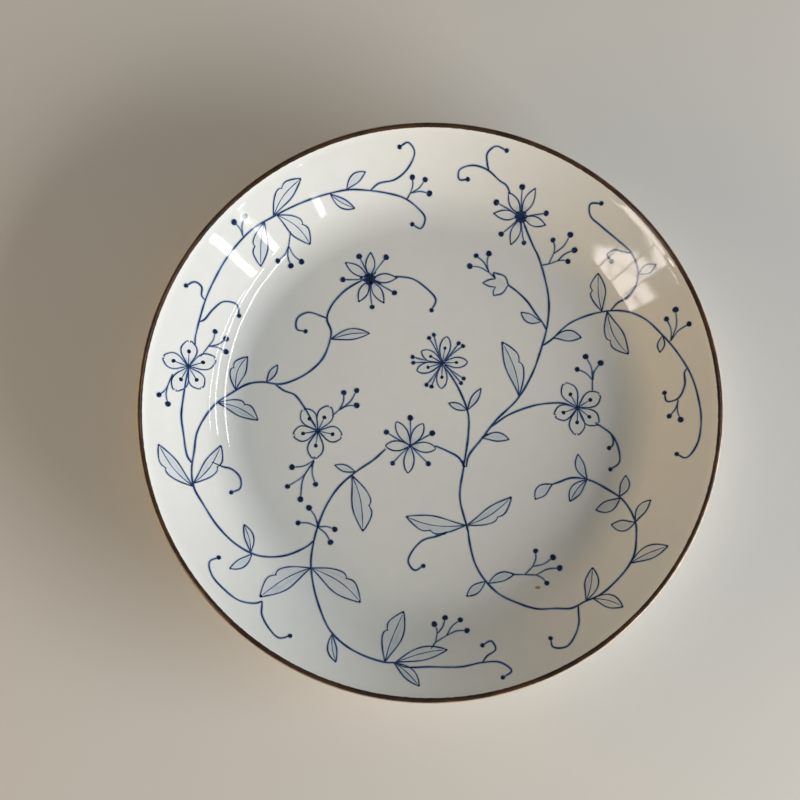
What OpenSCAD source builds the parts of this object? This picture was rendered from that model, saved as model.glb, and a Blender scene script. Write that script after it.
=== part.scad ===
// Round china dinner plate: a porcelain body with a low foot ring, a coat of clear glaze on its face,
// back and base, an iron-brown band round the lip, and a cobalt-blue vine painted on the face.
// Origin: centre of the foot ring's resting face. +Z is up, out of the food well. Millimetres.

/* [Plate] */
// Diameter over the lip
plate_d = 270; // [210:5:340]
// Thickness of the well, glaze included
well_t = 4.6; // [3:0.2:8]
// Thickness of the rim and the lip, glaze included
rim_t = 2.6; // [2.4:0.2:6]
// Thickness of each coat of glaze
glaze_t = 0.3; // [0.1:0.05:0.6]

/* [Well and rim] */
// Width of the shoulder, rim and lip together, seen from above
rim_w = 49; // [38:1:80]
// Radius of the shoulder between the floor and the rim, on the face
shoulder_r = 44; // [15:1:60]
// Radius of the same shoulder on the back
back_shoulder_r = 52; // [15:1:65]
// Slope of the rim, in degrees
rim_slope = 26; // [10:1:34]
// Radius of the upturn just inside the lip
upturn_r = 30; // [18:1:40]
// How much steeper the upturn ends than the rim, in degrees
upturn = 8; // [5:1:16]

/* [Foot ring] */
// Flat underside left between the foot ring and the shoulder
foot_gap = 1.6; // [0.4:0.2:30]
// Width of the flat resting face
foot_w = 2.2; // [1:0.2:6]
// Height of the foot ring
foot_h = 3.8; // [2.6:0.2:8]
// How far the walls of the foot ring lean from upright, in degrees
foot_draft = 20; // [0:1:35]
// Radius where the foot ring's walls meet the underside
foot_root_r = 1.6; // [0.5:0.1:2]
// Radius along the two edges of the resting face
foot_edge_r = 0.6; // [0.2:0.1:1]
// Height of bare porcelain left on each wall of the foot ring
foot_bare = 0.8; // [0.3:0.1:1]

/* [Lip band] */
// Width of the brown band on the face
band_w = 0.5; // [0.3:0.1:3]
// Width of the brown band on the back
band_back_w = 0.8; // [0.4:0.1:3]

/* [Painting, sizes for a plate of 270 that grow and shrink with it] */
// Width of a painted line
line_w = 0.9; // [0.5:0.05:1.1]
// Diameter of a painted berry
berry_d = 2.5; // [1.5:0.1:3]
// Height of the paint over the glaze
paint_h = 0.12; // [0.05:0.01:0.3]
// Length of a blossom's petals, from its middle
petal_reach = 12; // [8:0.5:12.5]
// Gap at the foot of a berry stalk
stalk_gap = 2.5; // [2:0.1:4]

/* [Hidden] */
$fn = 180;
arc_step = 4;           // largest turn between two points of a round stretch, in degrees
line_step = 4;          // largest length of a painted segment, in millimetres
drawn_d = 270;          // diameter of the plate that the painting's points are given for
spread = plate_d / drawn_d;
leaf_steps = 6;         // painted segments along a leaf
petal_steps = 5;        // along a petal
stalk_steps = 3;        // along a berry's stalk
stamen_steps = 2;       // along a stamen
stalk_bow = 0.4;        // how far the middle of a berry's stalk stands to the left
tip_w = 0.3;            // width at the ends of a leaf or petal
belly = 1.15;           // over 1, a leaf or petal is widest nearer its tip
petal_foot = 3.2;       // from a blossom's middle to the foot of its petals
stamen_foot = 7.5;      // from a blossom's middle to the foot of its stamens
middle_d = 3;           // diameter of the dot in a blossom's middle
dot_at = [-1, -0.5, 0.5, 1];           // stations along a painted dot, in half diameters
dot_widths = [0.3, 0.85, 0.85, 0.3];   // its width at each of them, in diameters
dot_room = 1.3;         // stalk points nearer a dot's middle than this many half diameters are left out
floor_r = plate_d / 2 - rim_w;
floor_z = foot_h + well_t;
lip_heading = rim_slope + upturn;

// ---- Section of the plate: a walk round it with the china on the right hand ----
// The steps of a walk are [length, 0] for a straight and [radius, turn] for an arc, a left turn being positive.

// Every pose [[r, z], heading] of a walk, from pose q
function walk(steps, q, i = 0) =
    i == len(steps) ? [q] :
    let (p = q[0], a = q[1], r = steps[i][0], turn = steps[i][1])
    turn == 0
        ? concat([q], walk(steps, [p + r * [cos(a), sin(a)], a], i + 1))
        : let (side = sign(turn) * r,
               n = ceil(abs(turn) / arc_step),
               c = p + side * [-sin(a), cos(a)],
               arc = [for (k = [0:n]) let (b = a + turn * k / n) [c + side * [sin(b), -cos(b)], b]])
          concat([for (k = [0:n - 1]) arc[k]], walk(steps, arc[n], i + 1));

// The points of a walk moved depth into the china, and kept on or outside the axis
function inset(poses, depth) =
    [for (q = poses) let (p = q[0] + depth * [sin(q[1]), -cos(q[1])]) [max(0, p[0]), p[1]]];

function last(list) = list[len(list) - 1];
function backwards(list) = [for (i = [len(list) - 1:-1:0]) list[i]];
function arc_turn(length, radius) = length / radius * 180 / PI;

// Straight run of the rim that is left once the shoulder, the upturn and the lip have their share
rim_run = rim_w - shoulder_r * sin(rim_slope)
    - upturn_r * (sin(lip_heading) - sin(rim_slope)) - rim_t / 2 * (1 + sin(lip_heading));
rim_l = rim_run / cos(rim_slope);

// The rim's back runs parallel to its face, and its shoulder rounds the corner with the underside
back_corner_r = floor_r + shoulder_r * tan(rim_slope / 2) + rim_t / sin(rim_slope)
    - well_t / tan(rim_slope);
rim_end = [floor_r + shoulder_r * sin(rim_slope) + rim_run,
           floor_z + shoulder_r * (1 - cos(rim_slope)) + rim_l * sin(rim_slope)];
back_rim_end = rim_end + rim_t * [sin(rim_slope), -cos(rim_slope)];
back_tangent = back_shoulder_r * tan(rim_slope / 2);
back_l = (back_rim_end[0] - back_corner_r) / cos(rim_slope) - back_tangent;

// The foot ring's walls turn down from the underside by this much, and foot_r is its resting face's radius
foot_turn = 90 - foot_draft;
foot_wall_l = (foot_h - (foot_root_r + foot_edge_r) * (1 - cos(foot_turn))) / sin(foot_turn);
foot_side = (foot_root_r + foot_edge_r) * sin(foot_turn) + foot_wall_l * cos(foot_turn);
foot_r = back_corner_r - back_tangent - foot_gap - foot_side;
base_l = foot_r - foot_w - foot_side;

band_turn = arc_turn(band_w, upturn_r);
back_upturn_r = upturn_r + rim_t;
back_band_turn = arc_turn(band_back_w, back_upturn_r);

face_walk = walk([[floor_r, 0], [shoulder_r, rim_slope], [rim_l, 0], [upturn_r, upturn - band_turn]],
                 [[0, floor_z], 0]);
band_walk = walk([[upturn_r, band_turn], [rim_t / 2, -180], [back_upturn_r, -back_band_turn]],
                 last(face_walk));
back_walk = walk([[back_upturn_r, back_band_turn - upturn], [back_l, 0],
                  [back_shoulder_r, -rim_slope], [foot_gap, 0],
                  [foot_root_r, foot_turn], [foot_wall_l - foot_bare, 0]],
                 last(band_walk));
bare_walk = walk([[foot_bare, 0], [foot_edge_r, -foot_turn], [foot_w, 0],
                  [foot_edge_r, -foot_turn], [foot_bare, 0]],
                 last(back_walk));
base_walk = walk([[foot_wall_l - foot_bare, 0], [foot_root_r, foot_turn], [base_l, 0]],
                 last(bare_walk));

body_outline = concat(inset(face_walk, glaze_t), inset(band_walk, glaze_t), inset(back_walk, glaze_t),
                      inset(bare_walk, 0), inset(base_walk, glaze_t));
face_outline = inset(face_walk, 0);

// A coat of glaze along a walk
module coat(poses)
    rotate_extrude() polygon(concat(inset(poses, 0), backwards(inset(poses, glaze_t))));

// ---- The painting: every stroke is a low ridge that lies on the face ----
// Points and widths are drawn flat, as [x, y] seen from above, for a plate of drawn_d, and ridge() spreads
// them over this plate. Strokes that meet in the painting stop a little short of each other here, so that
// each stays a solid of its own.

// Main stems, each a smooth line through its points
STEMS = [
    [[17, -54], [14, -39], [16, -24], [18, -10], [18, 0], [14, 11]],
    [[18, -20], [24, -12], [31, -3], [41, 7], [48, 19], [52, 30], [55, 41], [56, 53], [54, 65],
     [51, 75], [49, 79]],
    [[53, 43], [50, 47], [46, 53], [41, 58], [37, 61]],
    [[34, -3], [40, 1], [49, 4], [56, 5]],
    [[14, -21], [9, -18], [5, -16]],
    [[-22, -20], [-34, -27], [-42, -34], [-48, -43], [-52, -53], [-54, -61], [-55, -69], [-54, -79],
     [-51, -90], [-46, -101], [-39, -108], [-30, -113], [-20, -116]],
    [[-57, -62], [-66, -66], [-74, -67], [-81, -66], [-90, -61], [-98, -53], [-104, -44], [-109, -35],
     [-110, -27], [-109, -18], [-108, -10], [-105, -3], [-100, 4], [-92, 10], [-85, 14], [-78, 15],
     [-70, 14], [-63, 16], [-56, 20], [-50, 26], [-47, 33], [-46, 39], [-48, 45], [-46, 51], [-40, 58]],
    [[-68, 11], [-63, 9], [-59, 4]],
    [[-112, -21], [-114, -10], [-115, -2], [-114, 8]],
    [[18, -57], [19, -63], [21, -70], [25, -77], [32, -84], [40, -88], [49, -91], [58, -91], [65, -91],
     [71, -88], [78, -85], [85, -79], [91, -72], [94, -66], [95, -59], [95, -52], [93, -46], [89, -40],
     [82, -35], [74, -31], [66, -30], [60, -32]],
];

// Tendrils, each ending in a berry
TENDRILS = [
    [[57, 35], [66, 43], [80, 48], [91, 48], [100, 44], [108, 36], [115, 27], [121, 16], [124, 5],
     [125, -5], [123, -16], [118, -22], [114, -20]],
    [[88, 52], [92, 54], [96, 59], [97, 66], [94, 74], [88, 80], [80, 87], [75, 92], [75, 97], [80, 97]],
    [[90, 75], [86, 76], [83, 74], [85, 71]],
    [[36, 107], [33, 109], [27, 114], [20, 116], [14, 114], [14, 110], [18, 110]],
    [[27, 117], [27, 121], [31, 124], [36, 122]],
    [[118, 18], [118, 12], [115, 6], [110, 5], [109, 9]],
    [[80, -6], [85, -10], [88, -17], [88, -23], [84, -26]],
    [[68, -93], [68, -98], [66, -104], [62, -109], [56, -109], [55, -105]],
    [[4, -57], [-3, -59], [-8, -64], [-10, -69], [-7, -73], [-3, -71]],
    [[-12, -118], [0, -118], [14, -118], [24, -116], [32, -116], [37, -120], [33, -123]],
    [[26, -113], [30, -110], [28, -106], [24, -108]],
    [[-80, -89], [-87, -88], [-94, -83], [-100, -76], [-101, -70], [-97, -68]],
    [[-77, -90], [-77, -94], [-74, -100], [-69, -105], [-64, -104]],
    [[-96, -25], [-92, -26], [-88, -30], [-88, -35], [-92, -37]],
    [[-50, 46], [-57, 48], [-62, 45], [-62, 40], [-58, 39]],
    [[-15, 65], [-8, 64], [-2, 60], [3, 54], [1, 49]],
    [[-105, 43], [-101, 48], [-96, 52], [-90, 51], [-89, 46]],
    [[-106, 54], [-106, 58], [-109, 60], [-113, 58]],
    [[-109, 34], [-107, 43], [-104, 53], [-100, 62], [-95, 71], [-89, 79], [-82, 86], [-74, 91],
     [-65, 96], [-56, 100], [-47, 103], [-38, 105], [-29, 105], [-20, 104], [-12, 102], [-6, 98],
     [-2, 93], [-4, 88], [-8, 90]],
    [[-24, 108], [-16, 110], [-10, 115], [-7, 122], [-10, 126], [-14, 124]],
];

// Leaves: [foot, tip, width, bow], the bow being how far the middle stands to the left
LEAVES = [
    [[15, -53], [-11, -48], 8, 2], [[19, -52], [38, -39], 7, -2], [[15, 1], [9, 5], 3, 0],
    [[21, 3], [24, 12], 3, 0], [[27, -13], [37, -12], 4, 1], [[39, 10], [34, 34], 8, -2],
    [[60, 34], [71, 36], 5, 1], [[51, 42], [43, 48], 4, 1], [[80, 52], [79, 66], 7, 1],
    [[83, 46], [93, 28], 8, -2], [[100, 64], [105, 68], 4, 0], [[106, 34], [107, 28], 3, 0],
    [[-36, -25], [-44, -24], 3, 0], [[-34, -31], [-31, -55], 9, 2], [[-57, -72], [-78, -86], 10, -2],
    [[-52, -72], [-32, -88], 10, 2], [[-47, -105], [-43, -116], 4, -1], [[-20, -112], [-12, -92], 9, 1],
    [[-15, -114], [8, -110], 6, 1], [[-17, -119], [-5, -127], 5, 1], [[-82, -63], [-86, -52], 4, -1],
    [[-83, -69], [-92, -73], 4, 1], [[-112, -36], [-125, -16], 7, 2], [[-106, -33], [-97, -15], 7, -2],
    [[-92, 14], [-85, 27], 7, 2], [[-96, 2], [-80, -3], 7, 2], [[-76, 17], [-71, 23], 3, 0],
    [[-43, 34], [-28, 38], 5, 1], [[-74, 94], [-60, 109], 7, 2], [[-76, 88], [-79, 69], 7, -1],
    [[-70, 90], [-56, 80], 8, 2], [[-39, 108], [-30, 113], 4, 1], [[-46, 100], [-35, 97], 4, -1],
    [[23, -80], [17, -85], 4, 0], [[29, -77], [39, -75], 4, 1], [[70, -85], [75, -72], 6, -1],
    [[75, -89], [88, -91], 6, 1], [[95, -72], [109, -63], 6, 1], [[92, -52], [84, -52], 5, 1],
    [[98, -51], [102, -41], 4, 1], [[86, -42], [77, -45], 5, 1], [[90, -37], [91, -29], 4, -1],
    [[74, -28], [69, -19], 4, 1], [[72, -34], [65, -41], 5, -1], [[57, -33], [49, -40], 5, -1],
];

// Berry sprigs: the foot that the stalks fan out from, then each berry
SPRIGS = [
    [[2, -107], [1, -98], [7, -95], [13, -96], [17, -101]],
    [[43, -75], [49, -64], [57, -67], [60, -72], [54, -79]],
    [[112, 33], [110, 43], [114, 47], [120, 40]],
    [[115, 5], [111, -2], [116, -4]],
    [[56, 71], [65, 72], [68, 77], [66, 84], [58, 82]],
    [[-52, -53], [-56, -44], [-61, -51], [-44, -54], [-46, -60]],
    [[-42, 2], [-40, 10], [-34, 11], [-34, 4]],
    [[-54, -21], [-64, -25], [-66, -34], [-60, -40], [-53, -33]],
    [[-103, 31], [-100, 38], [-95, 35], [-95, 29]],
    [[-121, 12], [-125, 7], [-121, 3]],
    [[-87, 82], [-91, 88], [-86, 91]],
    [[-67, 79], [-71, 72], [-65, 70], [-60, 72]],
    [[-9, 104], [-8, 111], [-2, 110], [0, 104]],
    [[76, 16], [73, 27], [69, 21], [80, 24]],
    [[28, 67], [19, 70], [22, 75], [28, 76]],
];

// Blossoms: [middle, petal width, directions of the petals, directions of the stamens], in degrees
BLOSSOMS = [
    [[43, 93], 4, [-20, 62, 118, 172, 250], [5, 88, 150, 220, 277]],
    [[-28, 64], 4, [2, 88, 146, 245, 300], [-30, 53, 115, 182, 275]],
    [[-9, -15], 5, [-6, 60, 120, 180, 265], [-45, 30, 90, 150, 225]],
    [[6, 24], 4, [2, 80, 150, 197, 268], [45, 112, 174, 240, 318]],
    [[-52, -8], 6, [-13, 65, 125, 190, 262], []],
    [[-112, 21], 6, [20, 88, 162, 242, 302], []],
    [[69, 3], 6, [31, 118, 200, 268, 321], []],
];

// The one bud: [foot, tip, width, bow] for each of its petals
BUD = [[[36, 64], [30, 67], 3, -1], [[35, 62], [25, 62], 3, 0], [[36, 60], [30, 56], 3, 1]];

function face_z(p) = lookup(norm(p), face_outline);
function unit(v) = v / norm(v);
function left_of(v) = [-v[1], v[0]];
function heading(a) = [cos(a), sin(a)];

// A smooth line through the points: each span is an arc of the curve through its four nearest points
function spline(p) =
    [for (i = [0:len(p) - 2])
        let (a = p[max(i - 1, 0)], b = p[i], c = p[i + 1], d = p[min(i + 2, len(p) - 1)],
             n = ceil(norm(c - b) / line_step))
        for (k = [0:n - (i < len(p) - 2 ? 1 : 0)])
            let (t = k / n)
            (2 * b + t * (c - a) + t * t * (2 * a - 5 * b + 4 * c - d)
                + t * t * t * (3 * b - 3 * c + d - a)) / 2];

// A line from a to b, bowed to the left in its middle
function bowed(a, b, bow, n) =
    [for (k = [0:n]) a + (b - a) * k / n + bow * sin(180 * k / n) * left_of(unit(b - a))];

// A line out from a blossom's middle, from foot to the reach of its petals
function spoke(middle, way, foot, n) = bowed(middle + foot * way, middle + petal_reach * way, 0, n);

function heading_at(line, i) = unit(line[min(i + 1, len(line) - 1)] - line[max(i - 1, 0)]);

// The points of a ridge along a line: its left edge, crest and right edge at each station, on the face
function ridge(line, widths) =
    [for (i = [0:len(line) - 1])
        let (side = left_of(heading_at(line, i)) * widths[i] / 2, mid = spread * line[i],
             a = spread * (line[i] + side), b = spread * (line[i] - side),
             za = face_z(a), zb = face_z(b))
        each [[a[0], a[1], za], [mid[0], mid[1], (za + zb) / 2 + paint_h], [b[0], b[1], zb]]];

// The triangles of a ridge whose points start at number s
function ridge_faces(n, s) = concat(
    [[s, s + 1, s + 2], [s + n - 3, s + n - 1, s + n - 2]],
    [for (i = [s:3:s + n - 6]) each [
        [i, i + 3, i + 4], [i, i + 4, i + 1], [i + 1, i + 4, i + 5], [i + 1, i + 5, i + 2],
        [i, i + 2, i + 5], [i, i + 5, i + 3]]]);

// Ridges that never touch each other, as one group of closed solids
module paint(ridges) {
    starts = [for (i = 0, s = 0; i < len(ridges); s = s + len(ridges[i]), i = i + 1) s];
    polyhedron([for (r = ridges) each r],
               [for (i = [0:len(ridges) - 1]) each ridge_faces(len(ridges[i]), starts[i])]);
}

// A plain line, thin at both ends
function stroke(line) =
    ridge(line, [for (i = [0:len(line) - 1]) i == 0 || i == len(line) - 1 ? line_w / 2 : line_w]);

// A line that ends in a round berry, its end being the berry's middle
function berry_stroke(line) =
    let (end = last(line), d = berry_d / 2, along = heading_at(line, len(line) - 1),
         stalk = [for (p = line) if (norm(p - end) > d * dot_room) p])
    ridge(concat(stalk, [for (k = dot_at) end + k * d * along]),
          concat([for (p = stalk) line_w], berry_d * dot_widths));

// A leaf or petal: widest a little past its middle, with pointed ends
function blade(line, width) =
    let (n = len(line) - 1)
    ridge(line, [for (i = [0:n]) max(tip_w, width * sin(180 * pow(i / n, belly)))]);

// ---- The pieces ----

// Fired porcelain, bare only along the foot ring's resting face
module porcelain_body() color("ivory")
    rotate_extrude() polygon(body_outline);

// Clear glaze over the well, the shoulder and the rim
module face_glaze() color("whitesmoke")
    coat(face_walk);

// Clear glaze over the back, down to the bare edge of the foot ring
module back_glaze() color("whitesmoke")
    coat(back_walk);

// Clear glaze inside the foot ring
module base_glaze() color("whitesmoke")
    coat(base_walk);

// Iron-brown glaze over the lip
module lip_band() color([0.18, 0.11, 0.06])
    coat(band_walk);

module cobalt_stems() color("navy")
    paint([for (s = STEMS) stroke(spline(s))]);

module cobalt_tendrils() color("navy")
    paint([for (t = TENDRILS) berry_stroke(spline(t))]);

module cobalt_leaves() color("royalblue")
    paint([for (f = concat(LEAVES, BUD)) blade(bowed(f[0], f[1], f[3], leaf_steps), f[2])]);

// Each blossom's middle dot, its petals and the stamens between them
module cobalt_blossoms() color("royalblue")
    paint([for (f = BLOSSOMS) each concat(
        [ridge([for (k = dot_at) f[0] + [k * middle_d / 2, 0]], middle_d * dot_widths)],
        [for (a = f[2]) blade(spoke(f[0], heading(a), petal_foot, petal_steps), f[1])],
        [for (a = f[3]) berry_stroke(spoke(f[0], heading(a), stamen_foot, stamen_steps))])]);

module cobalt_berries() color("navy")
    paint([for (s = SPRIGS) each
        [for (i = [1:len(s) - 1])
            berry_stroke(bowed(s[0] + stalk_gap * unit(s[i] - s[0]), s[i], stalk_bow, stalk_steps))]]);

porcelain_body();
face_glaze();
back_glaze();
base_glaze();
lip_band();
cobalt_stems();
cobalt_tendrils();
cobalt_leaves();
cobalt_blossoms();
cobalt_berries();
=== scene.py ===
"""China dinner plate: smooth glazed china with a brown lip and a vine painted in cobalt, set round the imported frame.

Sizes in the classes are millimetres, as in the part's source, and MM turns them into the frame's metres where a
mesh is placed. Places on the plate are seen from above: x to the right, y away from the eater.
"""

import logging
import math
from bisect import bisect_right
from dataclasses import dataclass
from enum import Enum
from typing import Callable, Sequence

import bmesh
import bpy
from mathutils import Matrix, Vector


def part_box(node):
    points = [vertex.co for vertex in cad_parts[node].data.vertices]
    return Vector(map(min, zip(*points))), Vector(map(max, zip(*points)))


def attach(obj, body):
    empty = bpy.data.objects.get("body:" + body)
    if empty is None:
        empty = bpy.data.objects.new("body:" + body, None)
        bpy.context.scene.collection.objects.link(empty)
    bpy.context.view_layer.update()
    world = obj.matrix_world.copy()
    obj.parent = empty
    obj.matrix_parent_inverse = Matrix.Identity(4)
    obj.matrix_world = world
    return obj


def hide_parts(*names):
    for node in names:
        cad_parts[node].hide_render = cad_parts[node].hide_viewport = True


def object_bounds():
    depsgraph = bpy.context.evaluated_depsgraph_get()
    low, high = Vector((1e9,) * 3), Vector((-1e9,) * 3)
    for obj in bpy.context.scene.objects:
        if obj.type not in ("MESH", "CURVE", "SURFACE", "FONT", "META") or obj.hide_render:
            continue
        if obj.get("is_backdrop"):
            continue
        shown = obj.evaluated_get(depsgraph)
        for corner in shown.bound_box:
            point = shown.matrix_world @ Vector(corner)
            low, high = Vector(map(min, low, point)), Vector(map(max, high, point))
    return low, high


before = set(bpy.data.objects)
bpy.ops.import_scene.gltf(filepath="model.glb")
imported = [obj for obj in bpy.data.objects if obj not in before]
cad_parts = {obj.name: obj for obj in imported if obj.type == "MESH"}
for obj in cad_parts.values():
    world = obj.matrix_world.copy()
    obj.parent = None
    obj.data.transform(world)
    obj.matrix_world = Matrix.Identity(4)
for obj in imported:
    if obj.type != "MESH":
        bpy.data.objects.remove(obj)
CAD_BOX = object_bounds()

LOG = logging.getLogger("plate")
MM = 0.001            # one millimetre in metres
BODY = "root"         # the plate's one body
INK = "ink"           # the painted pieces' attribute: density of cobalt, from 0 to 1
ON_AXIS = 1e-6        # radius below which a point of the section is on the plate's axis, in millimetres
SHARP = math.radians(40)

Point = tuple[float, float]
Colour = tuple[float, float, float]


class Slot(Enum):
    """The record's material slots."""

    BISCUIT = "biscuit_porcelain"
    CLEAR = "clear_glaze"
    BROWN = "iron_brown_glaze"
    LINE = "cobalt_line"
    WASH = "cobalt_wash"


# ---- The plate's section ----


@dataclass(frozen=True)
class Pose:
    """A place on the section, and the heading there in degrees, with the china on the right hand."""

    r: float
    z: float
    heading: float

    def inset(self, depth: float) -> Point:
        """Returns the point this far into the china, kept on or outside the axis."""
        turn = math.radians(self.heading)
        return max(0.0, self.r + depth * math.sin(turn)), self.z - depth * math.cos(turn)


@dataclass(frozen=True)
class Walk:
    """A walk round the section, by steps of (length, 0) for a straight and (radius, turn) for an arc.

    A left turn is positive.
    """

    steps: tuple[Point, ...]
    arc_turn: float = 7.5      # largest turn between two points of an arc, in degrees
    arc_chord: float = 1.2     # largest distance between them
    straight_chord: float = 6.0

    def from_pose(self, start: Pose) -> list[Pose]:
        """Walks the steps.

        Args:
            start: where the walk begins.

        Returns:
            Every pose on the way, the first and the last among them.
        """
        poses = [start]
        for size, turn in self.steps:
            poses += self._arc(poses[-1], size, turn) if turn else self._straight(poses[-1], size)
        return poses

    def _straight(self, pose: Pose, length: float) -> list[Pose]:
        """Returns the poses along a straight, without its first."""
        count = max(1, math.ceil(length / self.straight_chord))
        turn = math.radians(pose.heading)
        return [
            Pose(pose.r + length * k / count * math.cos(turn), pose.z + length * k / count * math.sin(turn),
                 pose.heading)
            for k in range(1, count + 1)
        ]

    def _arc(self, pose: Pose, radius: float, turn: float) -> list[Pose]:
        """Returns the poses along an arc, without its first."""
        length = radius * math.radians(abs(turn))
        count = math.ceil(max(abs(turn) / self.arc_turn, length / self.arc_chord))
        side = math.copysign(radius, turn)
        start = math.radians(pose.heading)
        centre_r, centre_z = pose.r - side * math.sin(start), pose.z + side * math.cos(start)
        headings = [pose.heading + turn * k / count for k in range(1, count + 1)]
        return [
            Pose(centre_r + side * math.sin(math.radians(h)), centre_z - side * math.cos(math.radians(h)), h)
            for h in headings
        ]


@dataclass(frozen=True)
class Section:
    """Driving sizes of the plate's section, and the walks along its coats of glaze and its bare foot."""

    plate_d: float
    foot_h: float
    well_t: float = 4.6
    rim_t: float = 2.6
    glaze_t: float = 0.3
    rim_w: float = 49.0
    shoulder_r: float = 44.0
    back_shoulder_r: float = 52.0
    rim_slope: float = 26.0
    upturn_r: float = 30.0
    upturn: float = 8.0
    foot_gap: float = 1.6
    foot_w: float = 2.2
    foot_draft: float = 20.0
    foot_root_r: float = 1.6
    foot_edge_r: float = 0.6
    foot_bare: float = 0.8
    band_w: float = 0.5
    band_back_w: float = 0.8

    @classmethod
    def from_frame(cls) -> "Section":
        """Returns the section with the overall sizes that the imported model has."""
        low, high = CAD_BOX
        base_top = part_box("base_glaze")[1].z
        return cls(plate_d=2 * min(high.x, -low.x) / MM, foot_h=base_top / MM - cls.glaze_t)

    @property
    def floor_r(self) -> float:
        """Returns the radius of the well's flat floor."""
        return self.plate_d / 2 - self.rim_w

    def _rim_length(self) -> float:
        """Returns the length of the rim's straight run on the face."""
        slope, lip = math.radians(self.rim_slope), math.radians(self.rim_slope + self.upturn)
        run = (self.rim_w - self.shoulder_r * math.sin(slope)
               - self.upturn_r * (math.sin(lip) - math.sin(slope)) - self.rim_t / 2 * (1 + math.sin(lip)))
        return run / math.cos(slope)

    def _back_corner_r(self) -> float:
        """Returns the radius where the rim's back, drawn on, would meet the underside."""
        slope = math.radians(self.rim_slope)
        return (self.floor_r + self.shoulder_r * math.tan(slope / 2) + self.rim_t / math.sin(slope)
                - self.well_t / math.tan(slope))

    def _back_length(self) -> float:
        """Returns the length of the rim's straight run on the back."""
        slope = math.radians(self.rim_slope)
        rim_end = (self.floor_r + self.shoulder_r * math.sin(slope)
                   + self._rim_length() * math.cos(slope) + self.rim_t * math.sin(slope))
        return (rim_end - self._back_corner_r()) / math.cos(slope) - self.back_shoulder_r * math.tan(slope / 2)

    def walks(self) -> dict[str, list[Pose]]:
        """Walks once round the section, from the middle of the well to the middle of the base.

        Returns:
            The poses of each stretch: face, band, back, bare and base.
        """
        band = math.degrees(self.band_w / self.upturn_r)
        back_upturn_r = self.upturn_r + self.rim_t
        band_back = math.degrees(self.band_back_w / back_upturn_r)
        turn = 90 - self.foot_draft
        round_r = self.foot_root_r + self.foot_edge_r
        wall = ((self.foot_h - round_r * (1 - math.cos(math.radians(turn)))) / math.sin(math.radians(turn)))
        side = round_r * math.sin(math.radians(turn)) + wall * math.cos(math.radians(turn))
        back_tangent = self.back_shoulder_r * math.tan(math.radians(self.rim_slope) / 2)
        foot_r = self._back_corner_r() - back_tangent - self.foot_gap - side
        stretches = {
            "face": ((self.floor_r, 0), (self.shoulder_r, self.rim_slope), (self._rim_length(), 0),
                     (self.upturn_r, self.upturn - band)),
            "band": ((self.upturn_r, band), (self.rim_t / 2, -180), (back_upturn_r, -band_back)),
            "back": ((back_upturn_r, band_back - self.upturn), (self._back_length(), 0),
                     (self.back_shoulder_r, -self.rim_slope), (self.foot_gap, 0),
                     (self.foot_root_r, turn), (wall - self.foot_bare, 0)),
            "bare": ((self.foot_bare, 0), (self.foot_edge_r, -turn), (self.foot_w, 0),
                     (self.foot_edge_r, -turn), (self.foot_bare, 0)),
            "base": ((wall - self.foot_bare, 0), (self.foot_root_r, turn),
                     (foot_r - self.foot_w - side, 0)),
        }
        pose = Pose(0.0, self.foot_h + self.well_t, 0.0)
        walks = {}
        for name, steps in stretches.items():
            walks[name] = Walk(steps).from_pose(pose)
            pose = walks[name][-1]
        return walks


class Face:
    """The painted face: how high it stands at any place."""

    def __init__(self, poses: Sequence[Pose]) -> None:
        """Takes the face's section."""
        self.radii = [pose.r for pose in poses]
        self.heights = [pose.z for pose in poses]

    def height(self, x: float, y: float) -> float:
        """Returns the height over the floor that the plate stands on."""
        r = min(math.hypot(x, y), self.radii[-1])
        i = min(max(bisect_right(self.radii, r), 1), len(self.radii) - 1)
        share = (r - self.radii[i - 1]) / (self.radii[i] - self.radii[i - 1])
        return self.heights[i - 1] + share * (self.heights[i] - self.heights[i - 1])

    def spot(self, x: float, y: float) -> Vector:
        """Returns the place on the face, in metres."""
        return Vector((x * MM, y * MM, self.height(x, y) * MM))

    def mirror(self, x: float, y: float, eye: Vector) -> Vector:
        """Finds what shows mirrored at a place.

        Args:
            x: the place on the face.
            y: the same.
            eye: where the camera stands.

        Returns:
            The direction in which the mirrored thing hangs.
        """
        view = (eye - self.spot(x, y)).normalized()
        slope = [self.height(x + dx, y + dy) - self.height(x - dx, y - dy) for dx, dy in ((0.5, 0.0), (0.0, 0.5))]
        normal = Vector((-slope[0], -slope[1], 1.0)).normalized()
        return 2 * view.dot(normal) * normal - view


# ---- Node trees ----


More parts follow.
